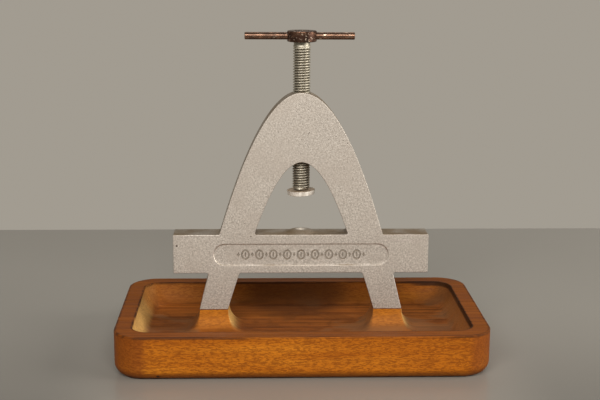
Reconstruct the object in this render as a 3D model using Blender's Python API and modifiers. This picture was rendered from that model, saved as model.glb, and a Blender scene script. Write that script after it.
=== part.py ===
"""Screw nutcracker: an aluminium A-frame on a wooden tray, with a spindle that presses the nut.

World frame, in metres: the origin is the centre of the tray's underside, +X runs along the tray,
+Y away from the user and +Z up. The spindle turns and feeds along the Z axis through the origin.
"""

import math

import bmesh
import bpy
from mathutils import Vector

# Clearance between touching pieces, and how far a cutter reaches past what it cuts.
GAP = 0.0003
PAST = 0.001

# Tray: a rounded block with a coved hollow and two plinths left standing in it.
TRAY_LENGTH = 0.250
TRAY_DEPTH = 0.137
TRAY_HEIGHT = 0.030
TRAY_CORNER = 0.020
TRAY_FOOT_ROUND = 0.008
TRAY_TOP_ROUND = 0.0008
RIM_WIDTH = 0.0115
HOLLOW_DEPTH = 0.015
HOLLOW_CORNER = 0.012
COVE_WIDTH = 0.009
COVE_BEND = 1.5
PLINTH_SIDE = 0.020
PLINTH_FLARE = 0.012

# A-frame: one drafted casting, widest at its front face. Each edge of the arch is a parabola
# x^2 = WIDTH * drop + SPREAD * drop^2, with the drop measured down from its apex. The legs'
# inner edges share the window's apex and width, and spread a little more.
FRAME_THICKNESS = 0.019
FRAME_FRONT = -FRAME_THICKNESS / 2
FRAME_BACK = FRAME_THICKNESS / 2
DRAFT = 0.01
FOOT_Z = TRAY_HEIGHT + GAP
OUTER_APEX = 0.1812
OUTER_WIDTH = 0.03145
OUTER_SPREAD = 0.008
INNER_APEX = 0.1338
INNER_WIDTH = 0.01897
INNER_SPREAD = 0.0335
LEG_SPREAD = 0.056
BAR_HALF = 0.088
BAR_TOP = 0.0834
BAR_BOTTOM = 0.0562
BAR_CORNER = 0.0007
ARCH_FILLET = 0.001
LEG_FILLET = 0.0014
PANEL_LENGTH = 0.1204
PANEL_HEIGHT = 0.0148
PANEL_Z = 0.0692
PANEL_DEPTH = 0.0009

# Anvil: a low dished boss on the crossbar, under the spindle, drawn out along the crossbar.
ANVIL_RADIUS = 0.0085
ANVIL_STRETCH = 1.4
ANVIL_TOP_RADIUS = 0.0040
ANVIL_HEIGHT = 0.0018
DISH_RADIUS = 0.0030
DISH_DEPTH = 0.0009

# Spindle M12 x 1.75, drawn at its outer diameter, with a spigot that carries the head.
THREAD_RADIUS = 0.00595
THREAD_CHAMFER = 0.0011
BORE_RADIUS = 0.0063
NECK_RADIUS = 0.0055
NECK_LENGTH = 0.0024
NECK_CHAMFER = 0.0008
SPIGOT_RADIUS = 0.0047

# Head and tommy bar. The bar lies a little off centre in its cross hole.
HEAD_RADIUS = 0.010
HEAD_TOP = 0.2219
HEAD_HEIGHT = 0.0073
HEAD_CHAMFER = 0.0006
BAR_RADIUS = 0.0025
BAR_LENGTH = 0.074
BAR_SHIFT = -0.0015
BAR_Z = 0.2184
BAR_CHAMFER = 0.0005

# Pressure disc, a little conical, which hangs loosely tilted on its screw.
DISC_RADIUS = 0.0097
DISC_FOOT_RADIUS = 0.0092
DISC_THICKNESS = 0.0031
DISC_BOTTOM = 0.1101
DISC_CHAMFER = 0.0004
DISC_TILT = math.radians(-2.75)
DISC_HOLE_RADIUS = 0.0030
DISC_RECESS_RADIUS = 0.0056
DISC_RECESS_DEPTH = 0.0020
DISC_TOP_PLAY = 0.0006
DISC_SCREW_PLAY = 0.00045
DISC_SCREW_HEAD_RADIUS = 0.00465
DISC_SCREW_HEAD_HEIGHT = 0.0012
DISC_SCREW_RADIUS = 0.0022
DISC_SCREW_REACH = 0.009
DISC_SLOT_DEPTH = 0.0006

# Slotted M6 screws with washers, which hold the feet from below.
SCREW_X = 0.0604
SCREW_RADIUS = 0.0030
SCREW_LENGTH = 0.030
SCREW_HEAD_RADIUS = 0.0050
SCREW_HEAD_HEIGHT = 0.0039
SLOT_WIDTH = 0.0016
SLOT_DEPTH = 0.0018
WASHER_RADIUS = 0.0060
WASHER_HOLE_RADIUS = 0.0033
WASHER_THICKNESS = 0.0016
COUNTERBORE_RADIUS = 0.0070
COUNTERBORE_DEPTH = 0.0120
TAPPED_DEPTH = 0.0130

# Fineness of the curves.
CORNER_STEPS = 6
ROUND_STEPS = 4
COVE_STEPS = 6
OUTER_STEPS = 24
INNER_STEPS = 16
FILLET_STEPS = 4
ANVIL_STEPS = 4
TURN_STEPS = 40

WOOD = ("oiled_beech", (0.45, 0.20, 0.07), 0.55, 0.0)
CASTING = ("cast_aluminium", (0.56, 0.52, 0.48), 0.60, 0.9)
BRIGHT_STEEL = ("bright_steel", (0.60, 0.58, 0.54), 0.35, 1.0)
BROWN_STEEL = ("browned_steel", (0.16, 0.08, 0.05), 0.45, 1.0)
ZINC = ("zinc_plate", (0.65, 0.65, 0.62), 0.40, 1.0)


def clear_scene():
    for thing in list(bpy.data.objects):
        bpy.data.objects.remove(thing)


def new_collection(name):
    collection = bpy.data.collections.new(name)
    bpy.context.scene.collection.children.link(collection)
    return collection


def new_material(finish):
    name, color, roughness, metallic = finish
    material = bpy.data.materials.new(name)
    material.use_nodes = True
    shader = material.node_tree.nodes["Principled BSDF"]
    shader.inputs["Base Color"].default_value = (*color, 1.0)
    shader.inputs["Roughness"].default_value = roughness
    shader.inputs["Metallic"].default_value = metallic
    return material


def new_object(name, mesh, collection):
    thing = bpy.data.objects.new(name, mesh)
    collection.objects.link(thing)
    return thing


def mesh_of(name, work):
    bmesh.ops.recalc_face_normals(work, faces=work.faces)
    mesh = bpy.data.meshes.new(name)
    work.to_mesh(mesh)
    work.free()
    return mesh


def loft(name, rings, collection):
    """A closed solid through rings of points that all have the same number of points."""
    work = bmesh.new()
    layers = [[work.verts.new(point) for point in ring] for ring in rings]
    for lower, upper in zip(layers, layers[1:]):
        for index in range(len(lower)):
            after = (index + 1) % len(lower)
            work.faces.new((lower[index], lower[after], upper[after], upper[index]))
    work.faces.new(layers[0])
    work.faces.new(layers[-1])
    return new_object(name, mesh_of(name, work), collection)


def rounded_rectangle(half_a, half_b, radius):
    """Outline points (a, b) of a rectangle about the origin with round corners."""
    points = []
    for quarter, (side_a, side_b) in enumerate(((1, 1), (-1, 1), (-1, -1), (1, -1))):
        for step in range(CORNER_STEPS + 1):
            angle = math.radians(90) * (quarter + step / CORNER_STEPS)
            points.append((
                side_a * (half_a - radius) + radius * math.cos(angle),
                side_b * (half_b - radius) + radius * math.sin(angle),
            ))
    return points


def level_ring(half_x, half_y, radius, z, center_x=0.0):
    outline = rounded_rectangle(half_x, half_y, radius)
    return [Vector((center_x + x, y, z)) for x, y in outline]


def turned(name, profile, collection):
    """A profile of (radius, z), going down its outer side, turned about the object's Z axis."""
    work = bmesh.new()
    corners = [work.verts.new((radius, 0, z)) for radius, z in profile]
    for start, end in zip(corners, corners[1:]):
        work.edges.new((start, end))
    if profile[0][0] > 0:
        work.edges.new((corners[-1], corners[0]))
    mesh = bpy.data.meshes.new(name)
    work.to_mesh(mesh)
    work.free()
    thing = new_object(name, mesh, collection)
    screw = thing.modifiers.new("turn", "SCREW")
    screw.steps = TURN_STEPS
    screw.render_steps = TURN_STEPS
    screw.use_merge_vertices = True
    screw.merge_threshold = 0.00001
    screw.use_smooth_shade = False
    return thing


def cylinder(name, radius, length, collection):
    """A cylinder along Z, centred on its origin."""
    work = bmesh.new()
    bmesh.ops.create_cone(
        work, cap_ends=True, segments=TURN_STEPS, radius1=radius, radius2=radius, depth=length
    )
    return new_object(name, mesh_of(name, work), collection)


def box(name, low, high, collection):
    work = bmesh.new()
    bmesh.ops.create_cube(work, size=1.0)
    low, high = Vector(low), Vector(high)
    for corner in work.verts:
        corner.co = (low + high) / 2 + corner.co * (high - low)
    return new_object(name, mesh_of(name, work), collection)


def as_cutter(thing):
    thing.hide_render = True
    thing.display_type = "WIRE"
    return thing


def combine(body, tool, operation):
    as_cutter(tool)
    change = body.modifiers.new(tool.name, "BOOLEAN")
    change.object = tool
    change.operation = operation
    change.solver = "EXACT"


def rounded_corners(corners):
    """Outline points (x, z) from corners (x, z, radius), each radius made an arc."""
    points = []
    for index, (x, z, radius) in enumerate(corners):
        corner = Vector((x, z))
        if radius == 0:
            points.append(corner)
            continue
        before = Vector(corners[index - 1][:2]) - corner
        after = Vector(corners[(index + 1) % len(corners)][:2]) - corner
        half = before.angle(after) / 2
        middle = (before.normalized() + after.normalized()).normalized()
        center = corner + middle * radius / math.sin(half)
        start = corner + before.normalized() * radius / math.tan(half) - center
        end = corner + after.normalized() * radius / math.tan(half) - center
        for step in range(FILLET_STEPS + 1):
            share = step / FILLET_STEPS
            points.append(center + start.lerp(end, share).normalized() * radius)
    return points


def moved_inward(outline, distance):
    """A clockwise outline with every side moved inward, keeping its corners mitred."""
    moved = []
    for index, point in enumerate(outline):
        along = (point - outline[index - 1]).normalized()
        onward = (outline[(index + 1) % len(outline)] - point).normalized()
        first = Vector((along.y, -along.x))
        second = Vector((onward.y, -onward.x))
        moved.append(point + (first + second) * distance / (1 + first.dot(second)))
    return moved


def drafted_prism(name, outline, front, back, side, collection):
    """An outline drawn at the frame's front face, carried from front to back along Y.

    side is 1 for a solid, which narrows towards the back, and -1 for an opening, which widens.
    """
    rings = []
    for y in (front, back):
        ring = moved_inward(outline, side * DRAFT * (y - FRAME_FRONT))
        rings.append([Vector((point.x, y, point.y)) for point in ring])
    return loft(name, rings, collection)


def parabola_x(drop, width, spread):
    return math.sqrt(width * drop + spread * drop * drop)


def outer_x(z):
    return parabola_x(OUTER_APEX - z, OUTER_WIDTH, OUTER_SPREAD)


def window_x(z):
    return parabola_x(INNER_APEX - z, INNER_WIDTH, INNER_SPREAD)


def leg_x(z):
    return parabola_x(INNER_APEX - z, INNER_WIDTH, LEG_SPREAD)


def arch_points(half_width, apex, low, steps):
    """Corners down the right side of a parabola, from below its apex to the height low."""
    points = []
    for step in range(1, steps + 1):
        z = apex - (apex - low) * (step / steps) ** 2
        points.append((half_width(z), z, 0))
    return points


def both_sides(apex, right):
    """A clockwise outline from its apex and the corners of its right half."""
    left = [(-x, z, radius) for x, z, radius in reversed(right)]
    return rounded_corners([(0, apex, 0)] + right + left)


def filleted_end(corners):
    """The same corners, with a fillet on the last, where the arch meets the crossbar."""
    x, z, _ = corners[-1]
    return corners[:-1] + [(x, z, ARCH_FILLET)]


def casting_outline():
    """The A with its crossbar's ends, carried a little below the feet, and without the window."""
    low = FOOT_Z - PAST
    knee = (BAR_BOTTOM + low) / 2
    shoulder = arch_points(outer_x, OUTER_APEX, BAR_TOP, OUTER_STEPS)
    leg = [
        (outer_x(BAR_BOTTOM), BAR_BOTTOM, LEG_FILLET),
        (outer_x(knee), knee, 0),
        (outer_x(low), low, 0),
        (leg_x(low), low, 0),
        (leg_x(knee), knee, 0),
        (leg_x(BAR_BOTTOM), BAR_BOTTOM, LEG_FILLET),
    ]
    bar_end = [(BAR_HALF, BAR_TOP, BAR_CORNER), (BAR_HALF, BAR_BOTTOM, BAR_CORNER)]
    return both_sides(OUTER_APEX, filleted_end(shoulder) + bar_end + leg)


def window_outline():
    """The opening above the crossbar, where the nut goes."""
    side = arch_points(window_x, INNER_APEX, BAR_TOP, INNER_STEPS)
    return both_sides(INNER_APEX, filleted_end(side))


def cross_hole(cutters):
    hole = cylinder("cross_hole", BAR_RADIUS + GAP, 4 * HEAD_RADIUS, cutters)
    hole.rotation_euler.y = math.radians(90)
    hole.location.z = BAR_Z
    return hole


def screw_hole(name, x, radius, bottom, top, cutters):
    hole = cylinder(name, radius, top - bottom, cutters)
    hole.location = (x, 0, (bottom + top) / 2)
    return hole


def slot(name, x, bottom, depth, cutters):
    """A screwdriver slot along X, up into a screw head whose end is at the height bottom."""
    low = (x - 2 * SCREW_HEAD_RADIUS, -SLOT_WIDTH / 2, bottom - PAST)
    high = (x + 2 * SCREW_HEAD_RADIUS, SLOT_WIDTH / 2, bottom + depth)
    return box(name, low, high, cutters)


def tray_block(parts):
    """The outer block, with a round bottom edge and a slightly broken top edge."""
    rings = []
    for step in range(ROUND_STEPS + 1):
        angle = math.radians(90) * step / ROUND_STEPS
        inset = TRAY_FOOT_ROUND * (1 - math.sin(angle))
        z = TRAY_FOOT_ROUND * (1 - math.cos(angle))
        rings.append((inset, z))
    rings.append((0, TRAY_HEIGHT - TRAY_TOP_ROUND))
    rings.append((TRAY_TOP_ROUND, TRAY_HEIGHT))
    return loft("tray", [
        level_ring(TRAY_LENGTH / 2 - inset, TRAY_DEPTH / 2 - inset, TRAY_CORNER - inset, z)
        for inset, z in rings
    ], parts)


def cove_share(share):
    """How far the cove has closed in, from 0 at the rim to 1 at the floor, at a share of the depth."""
    return 1 - (1 - share**COVE_BEND) ** (1 / COVE_BEND)


def hollow(cutters):
    floor = TRAY_HEIGHT - HOLLOW_DEPTH
    half_x = TRAY_LENGTH / 2 - RIM_WIDTH
    half_y = TRAY_DEPTH / 2 - RIM_WIDTH
    rings = [level_ring(half_x, half_y, HOLLOW_CORNER, TRAY_HEIGHT + PAST)]
    for step in range(COVE_STEPS + 1):
        share = math.sin(math.radians(90) * step / COVE_STEPS)
        inset = COVE_WIDTH * cove_share(share)
        z = TRAY_HEIGHT + (floor - TRAY_HEIGHT) * share
        rings.append(level_ring(half_x - inset, half_y - inset, HOLLOW_CORNER, z))
    return loft("hollow", rings, cutters)


def plinth(name, x, cutters):
    """A square stub under a foot, flaring out into the tray's floor."""
    floor = TRAY_HEIGHT - HOLLOW_DEPTH
    half = PLINTH_SIDE / 2
    rings = [level_ring(half, half, TRAY_TOP_ROUND, TRAY_HEIGHT, x)]
    for step in range(1, COVE_STEPS + 1):
        share = math.sin(math.radians(90) * step / COVE_STEPS)
        flare = PLINTH_FLARE * (1 - math.sqrt(1 - share * share))
        z = TRAY_HEIGHT + (floor - TRAY_HEIGHT) * share
        rings.append(level_ring(half + flare, half + flare, TRAY_TOP_ROUND + 0.8 * flare, z, x))
    wide = half + PLINTH_FLARE
    corner = TRAY_TOP_ROUND + 0.8 * PLINTH_FLARE
    rings.append(level_ring(wide, wide, corner, floor - PAST, x))
    return loft(name, rings, cutters)


def make_tray(parts, cutters):
    tray = tray_block(parts)
    combine(tray, hollow(cutters), "DIFFERENCE")
    for side, x in (("left", -SCREW_X), ("right", SCREW_X)):
        combine(tray, plinth(f"plinth_{side}", x, cutters), "UNION")
        counterbore = screw_hole(
            f"counterbore_{side}", x, COUNTERBORE_RADIUS, -PAST, COUNTERBORE_DEPTH, cutters
        )
        combine(tray, counterbore, "DIFFERENCE")
        passage = screw_hole(
            f"passage_{side}", x, SCREW_RADIUS + GAP, PAST, TRAY_HEIGHT + PAST, cutters
        )
        combine(tray, passage, "DIFFERENCE")
    return tray


def anvil(cutters):
    """A bell-shaped swelling with a small dish in its top."""
    top = BAR_TOP + ANVIL_HEIGHT
    profile = [
        (0, top - DISH_DEPTH),
        (DISH_RADIUS / 2, top - DISH_DEPTH * 0.8),
        (DISH_RADIUS, top),
    ]
    for step in range(ANVIL_STEPS + 1):
        share = step / ANVIL_STEPS
        radius = ANVIL_TOP_RADIUS + (ANVIL_RADIUS - ANVIL_TOP_RADIUS) * share
        profile.append((radius, BAR_TOP + ANVIL_HEIGHT * (1 + math.cos(math.pi * share)) / 2))
    profile += [(ANVIL_RADIUS, BAR_TOP - PAST), (0, BAR_TOP - PAST)]
    boss = turned("anvil", profile, cutters)
    boss.scale.x = ANVIL_STRETCH
    return boss


def panel(cutters):
    """The shallow recess with round ends along the crossbar's front."""
    outline = rounded_rectangle(PANEL_LENGTH / 2, PANEL_HEIGHT / 2, PANEL_HEIGHT / 2 - GAP)
    return loft("panel", [
        [Vector((a, y, PANEL_Z + b)) for a, b in outline]
        for y in (FRAME_FRONT - PAST, FRAME_FRONT + PANEL_DEPTH)
    ], cutters)


def make_frame(parts, cutters):
    frame = drafted_prism("frame", casting_outline(), FRAME_FRONT, FRAME_BACK, 1, parts)
    window = drafted_prism(
        "window", window_outline(), FRAME_FRONT - PAST, FRAME_BACK + PAST, -1, cutters
    )
    combine(frame, window, "DIFFERENCE")
    below = box(
        "below_feet",
        (-BAR_HALF, 2 * FRAME_FRONT, FOOT_Z - 3 * PAST),
        (BAR_HALF, 2 * FRAME_BACK, FOOT_Z),
        cutters,
    )
    combine(frame, below, "DIFFERENCE")
    combine(frame, anvil(cutters), "UNION")
    combine(frame, panel(cutters), "DIFFERENCE")
    crown = screw_hole(
        "crown_bore", 0, BORE_RADIUS, INNER_APEX - 5 * PAST, OUTER_APEX + PAST, cutters
    )
    combine(frame, crown, "DIFFERENCE")
    for side, x in (("left", -SCREW_X), ("right", SCREW_X)):
        tapped = screw_hole(
            f"tapped_{side}", x, SCREW_RADIUS + GAP, FOOT_Z - PAST, FOOT_Z + TAPPED_DEPTH, cutters
        )
        combine(frame, tapped, "DIFFERENCE")
    return frame


def spindle_end_z():
    return DISC_BOTTOM + DISC_THICKNESS + DISC_TOP_PLAY


def make_spindle(parts, cutters):
    head_bottom = HEAD_TOP - HEAD_HEIGHT
    shoulder = head_bottom - GAP
    end = spindle_end_z()
    spindle = turned("spindle", [
        (0, HEAD_TOP - GAP),
        (SPIGOT_RADIUS, HEAD_TOP - GAP),
        (SPIGOT_RADIUS, shoulder),
        (NECK_RADIUS, shoulder - NECK_CHAMFER),
        (NECK_RADIUS, shoulder - NECK_LENGTH),
        (THREAD_RADIUS, shoulder - NECK_LENGTH - NECK_CHAMFER),
        (THREAD_RADIUS, end + THREAD_CHAMFER),
        (THREAD_RADIUS - THREAD_CHAMFER, end),
        (0, end),
    ], parts)
    combine(spindle, cross_hole(cutters), "DIFFERENCE")
    tapped = screw_hole(
        "spindle_tapped",
        0,
        DISC_SCREW_RADIUS + GAP,
        end - PAST,
        end + DISC_SCREW_REACH + PAST,
        cutters,
    )
    combine(spindle, tapped, "DIFFERENCE")
    return spindle


def make_head(parts, cutters):
    bottom = HEAD_TOP - HEAD_HEIGHT
    head = turned("spindle_head", [
        (SPIGOT_RADIUS + GAP, HEAD_TOP),
        (HEAD_RADIUS - HEAD_CHAMFER, HEAD_TOP),
        (HEAD_RADIUS, HEAD_TOP - HEAD_CHAMFER),
        (HEAD_RADIUS, bottom + HEAD_CHAMFER),
        (HEAD_RADIUS - HEAD_CHAMFER, bottom),
        (SPIGOT_RADIUS + GAP, bottom),
    ], parts)
    combine(head, cross_hole(cutters), "DIFFERENCE")
    return head


def make_tommy_bar(parts):
    half = BAR_LENGTH / 2
    bar = turned("tommy_bar", [
        (0, half),
        (BAR_RADIUS - BAR_CHAMFER, half),
        (BAR_RADIUS, half - BAR_CHAMFER),
        (BAR_RADIUS, BAR_CHAMFER - half),
        (BAR_RADIUS - BAR_CHAMFER, -half),
        (0, -half),
    ], parts)
    bar.rotation_euler.y = math.radians(90)
    bar.location = (BAR_SHIFT, 0, BAR_Z)
    return bar


def make_disc(parts):
    half = DISC_THICKNESS / 2
    disc = turned("pressure_disc", [
        (DISC_HOLE_RADIUS, half),
        (DISC_RADIUS - DISC_CHAMFER, half),
        (DISC_RADIUS, half - DISC_CHAMFER),
        (DISC_FOOT_RADIUS, DISC_CHAMFER - half),
        (DISC_FOOT_RADIUS - DISC_CHAMFER, -half),
        (DISC_RECESS_RADIUS, -half),
        (DISC_RECESS_RADIUS, DISC_RECESS_DEPTH - half),
        (DISC_HOLE_RADIUS, DISC_RECESS_DEPTH - half),
    ], parts)
    disc.location.z = DISC_BOTTOM + half
    disc.rotation_euler.y = DISC_TILT
    return disc


def make_disc_screw(parts, cutters):
    top = spindle_end_z() + DISC_SCREW_REACH
    neck = DISC_BOTTOM + DISC_RECESS_DEPTH - DISC_SCREW_PLAY
    bottom = neck - DISC_SCREW_HEAD_HEIGHT
    screw = turned("disc_screw", [
        (0, top),
        (DISC_SCREW_RADIUS, top),
        (DISC_SCREW_RADIUS, neck),
        (DISC_SCREW_HEAD_RADIUS, neck),
        (DISC_SCREW_HEAD_RADIUS, bottom),
        (0, bottom),
    ], parts)
    combine(screw, slot("disc_screw_slot", 0, bottom, DISC_SLOT_DEPTH, cutters), "DIFFERENCE")
    return screw


def make_washer(side, x, parts):
    top = COUNTERBORE_DEPTH - GAP
    washer = turned(f"foot_washer_{side}", [
        (WASHER_HOLE_RADIUS, top),
        (WASHER_RADIUS, top),
        (WASHER_RADIUS, top - WASHER_THICKNESS),
        (WASHER_HOLE_RADIUS, top - WASHER_THICKNESS),
    ], parts)
    washer.location.x = x
    return washer


def make_foot_screw(side, x, parts, cutters):
    seat = COUNTERBORE_DEPTH - 2 * GAP - WASHER_THICKNESS
    bottom = seat - SCREW_HEAD_HEIGHT
    screw = turned(f"foot_screw_{side}", [
        (0, seat + SCREW_LENGTH),
        (SCREW_RADIUS, seat + SCREW_LENGTH),
        (SCREW_RADIUS, seat),
        (SCREW_HEAD_RADIUS, seat),
        (SCREW_HEAD_RADIUS, bottom),
        (0, bottom),
    ], parts)
    screw.location.x = x
    combine(screw, slot(f"foot_slot_{side}", x, bottom, SLOT_DEPTH, cutters), "DIFFERENCE")
    return screw


def finish(things, material):
    for thing in things:
        thing.data.materials.append(material)


def main():
    clear_scene()
    parts = new_collection("nutcracker")
    cutters = new_collection("nutcracker_cutters")
    finish([make_tray(parts, cutters)], new_material(WOOD))
    finish([make_frame(parts, cutters)], new_material(CASTING))
    finish([make_spindle(parts, cutters)], new_material(BRIGHT_STEEL))
    finish([make_head(parts, cutters), make_tommy_bar(parts)], new_material(BROWN_STEEL))
    finish([make_disc(parts)], new_material(BRIGHT_STEEL))
    fixings = [make_disc_screw(parts, cutters)]
    for side, x in (("left", -SCREW_X), ("right", SCREW_X)):
        fixings.append(make_washer(side, x, parts))
        fixings.append(make_foot_screw(side, x, parts, cutters))
    finish(fixings, new_material(ZINC))


main()
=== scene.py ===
"""Looks of the screw nutcracker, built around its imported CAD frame.

Lengths are in metres, in the part's own frame: the origin is under the middle of the tray, +X runs
along it, +Y away from the camera and +Z up. Each piece repeats its CAD solid in finer detail: the
wood's unevenness, the casting's rounded edges and ornament, and the spindle's real thread.
"""

import math

import bmesh
import bpy
from mathutils import Matrix, Vector, noise


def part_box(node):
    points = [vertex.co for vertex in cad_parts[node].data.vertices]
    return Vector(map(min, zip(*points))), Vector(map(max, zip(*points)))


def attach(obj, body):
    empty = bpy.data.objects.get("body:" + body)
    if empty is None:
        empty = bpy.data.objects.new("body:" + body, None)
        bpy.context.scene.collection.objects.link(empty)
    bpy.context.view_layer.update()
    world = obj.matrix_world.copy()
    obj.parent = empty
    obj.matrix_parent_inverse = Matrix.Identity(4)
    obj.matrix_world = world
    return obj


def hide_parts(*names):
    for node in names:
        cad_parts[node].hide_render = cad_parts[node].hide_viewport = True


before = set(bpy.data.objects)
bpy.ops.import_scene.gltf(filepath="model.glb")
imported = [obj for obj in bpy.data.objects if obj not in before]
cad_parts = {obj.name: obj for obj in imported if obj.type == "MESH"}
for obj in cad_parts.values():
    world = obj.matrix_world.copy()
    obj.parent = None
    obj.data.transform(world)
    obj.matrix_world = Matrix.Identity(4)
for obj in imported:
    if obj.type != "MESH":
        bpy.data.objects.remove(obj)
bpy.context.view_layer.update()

MM = 0.001
QUARTER = math.radians(90)
# Facets round a turned shape.
SMALL_ROUND = 48
WIDE_ROUND = 72

# Tray
TRAY_LOW, TRAY_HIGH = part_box("tray")
TRAY_TOP = TRAY_HIGH.z
TRAY_HALF_X = TRAY_HIGH.x
TRAY_HALF_Y = TRAY_HIGH.y
TRAY_CORNER = 20 * MM
FOOT_ROUND = 8 * MM
TOP_ROUND = 1.0 * MM
RIM_WIDTH = 11.5 * MM
RIM_ROUND = 0.6 * MM
HOLLOW_DEPTH = 15 * MM
HOLLOW_CORNER = 12 * MM
COVE_WIDTH = 9 * MM
COVE_BEND = 1.5
# The unevenness of the wood: any whole number but 0, which would take the clock instead.
WOOD_SEED = 7
PLINTH_HALF = 10 * MM
PLINTH_FLARE = 12 * MM
COUNTERBORE_RADIUS = 7 * MM
COUNTERBORE_DEPTH = 12 * MM
PASSAGE_RADIUS = 3.3 * MM
EDGE_BREAK = 0.4 * MM
# A dark patch in the hollow behind the frame's middle: painted shadow of the crossbar, partly a
# stain.
BACK_SHADE_AND_STAIN_SPOT = (-2 * MM, 59 * MM, 21 * MM)
BACK_SHADE_AND_STAIN_REACH = 25 * MM
# A dark patch on the hollow's floor left of the left plinth: painted shadow of the plinth, partly a
# stain.
LEFT_SHADE_AND_STAIN_SPOT = (-88 * MM, 4 * MM, 15 * MM)
LEFT_SHADE_AND_STAIN_REACH = 14 * MM
NICK_PLACE = (-95 * MM, -66.6 * MM, 2.8 * MM)
NICK_RADIUS = 0.8 * MM

# Frame
FRAME_LOW, FRAME_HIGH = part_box("frame")
FRONT = FRAME_LOW.y
BACK = FRAME_HIGH.y
FOOT_Z = FRAME_LOW.z
DRAFT = 0.01
FRONT_EDGE = 0.45 * MM
BACK_EDGE = 1.6 * MM
OUTER_APEX = 181.2 * MM
OUTER_WIDTH = 31.45 * MM
OUTER_SPREAD = 0.008
INNER_APEX = 133.8 * MM
INNER_WIDTH = 18.97 * MM
INNER_SPREAD = 0.0335
LEG_SPREAD = 0.056
BAR_HALF = FRAME_HIGH.x
BAR_TOP = 83.4 * MM
BAR_BOTTOM = 56.2 * MM
BAR_CORNER = 0.7 * MM
ARCH_FILLET = 1.0 * MM
LEG_FILLET = 1.4 * MM
PANEL_HALF = 60.2 * MM
PANEL_RADIUS = 7.4 * MM
PANEL_Z = 69.2 * MM
PANEL_DEPTH = 0.9 * MM
CROWN_BORE = 6.15 * MM
ANVIL_RADIUS = 8.5 * MM
ANVIL_STRETCH = 1.4
ANVIL_TOP_RADIUS = 4.0 * MM
ANVIL_HEIGHT = 1.8 * MM
DISH_RADIUS = 3.0 * MM
DISH_DEPTH = 0.9 * MM
CLUSTERS = ((1 * MM, 168 * MM), (6 * MM, 155 * MM), (-2 * MM, 145 * MM))
CLUSTER_RADIUS = 3.5 * MM
PIT_PLACE = (-85.5 * MM, FRONT, 75.6 * MM)
PIT_RADIUS = 0.45 * MM
SCREW_X = 60.4 * MM
TAPPED_RADIUS = 3.0 * MM
TAPPED_DEPTH = 13 * MM

# Ornament: nut-shaped rings and lozenges engraved in the panel.
NUT_COUNT = 9
NUT_SPACING = 9.6 * MM
NUT_HALF_WIDTH = 3.0 * MM
NUT_HALF_HEIGHT = 3.6 * MM
GROOVE_WIDTH = 1.1 * MM
GROOVE_DEPTH = 0.7 * MM
GROOVE_SLOPE = 0.15 * MM
SEAM_HALF_WIDTH = 0.5 * MM
SEAM_HALF_HEIGHT = 1.7 * MM
LOZENGE_HALF_WIDTH = 0.95 * MM
LOZENGE_HALF_HEIGHT = 1.7 * MM

# Spindle
SPINDLE_LOW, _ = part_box("spindle")
THREAD_RADIUS = 5.95 * MM
THREAD_PITCH = 1.75 * MM
THREAD_DEPTH = 1.15 * MM
THREAD_RUNOUT = 0.6 * MM
THREAD_FADE = 1.2 * MM
THREAD_END_FADE = 0.9 * MM
CREST_SHARE = 0.34
FLANK_SHARE = 0.50
RINGS_PER_PITCH = 12
SPINDLE_CHAMFER = 1.1 * MM
SPINDLE_TAP_RADIUS = 2.3 * MM
SPINDLE_TAP_DEPTH = 10 * MM
NECK_RADIUS = 5.5 * MM
NECK_LENGTH = 2.4 * MM
HEAD_LOW, HEAD_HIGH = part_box("spindle_head")
HEAD_RADIUS = HEAD_HIGH.x
HEAD_ROUND = 0.7 * MM
SPIGOT_RADIUS = 4.7 * MM
SPIGOT_DEPTH = 1.6 * MM
CROSS_HOLE_GAP = 0.08 * MM
BAR_LOW, BAR_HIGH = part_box("tommy_bar")
BAR_RADIUS = (BAR_HIGH.z - BAR_LOW.z) / 2
BAR_CENTER = (BAR_LOW + BAR_HIGH) / 2
BAR_END_ROUND = 0.6 * MM

# Pressure disc
DISC_RADIUS = 9.7 * MM
DISC_FOOT_RADIUS = 9.2 * MM
DISC_THICKNESS = 3.1 * MM
DISC_BOTTOM = 110.1 * MM
DISC_ROUND = 0.35 * MM
DISC_TILT = math.radians(-2.75)
DISC_HOLE_RADIUS = 3.0 * MM
DISC_RECESS_RADIUS = 5.6 * MM
DISC_RECESS_DEPTH = 2.0 * MM

# Fixings. A screw is its shank's radius, its head's height, and its slot's width and depth.
DISC_SCREW = (2.2 * MM, 1.2 * MM, 1.6 * MM, 0.6 * MM)
FOOT_SCREW = (3.0 * MM, 3.9 * MM, 1.6 * MM, 1.8 * MM)
SCREW_HEAD_ROUND = 0.3 * MM
WASHER_HOLE_RADIUS = 3.2 * MM
WASHER_ROUND = 0.2 * MM

# Camera and lights
CAMERA_PLACE = Vector((-29.7, -784.4, 278.8)) * MM
CAMERA_YAW = -0.037
CAMERA_PITCH = -0.217
CAMERA_ROLL = -0.006
CAMERA_LENS = 69.8
LIGHT_TARGET = (0, 0, 0.08)
LIGHTS = (
    # name, place, size, watts and colour
    ("key", (-0.22, -1.30, 1.00), (1.5, 0.35), 25, (1.0, 0.95, 0.89)),
    ("side", (1.35, -0.38, 0.55), (1.0, 0.9), 15, (1.0, 0.95, 0.88)),
    ("back", (0.25, 1.05, 1.55), (1.2, 0.6), 5, (1.0, 0.96, 0.90)),
)
HORIZON = (0.08, (0.362, 0.331, 0.282, 1))
OVERHEAD = (0.60, (0.055, 0.052, 0.046, 1))
FLOOR_REACH = 3.0
FLOOR_BACK = 0.345
FLOOR_Z = -0.2 * MM


# Mesh building


def add_ring(work, points):
    return [work.verts.new(point) for point in points]


def join_rings(work, lower, upper):
    for index in range(len(lower)):
        after = (index + 1) % len(lower)
        work.faces.new((lower[index], lower[after], upper[after], upper[index]))


def loft(work, rings):
    """Joins rings of points with quads and returns the first and last rings as vertices."""
    layers = [add_ring(work, rings[0])]
    for ring in rings[1:]:
        layers.append(add_ring(work, ring))
        join_rings(work, layers[-2], layers[-1])
    return layers[0], layers[-1]


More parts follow.
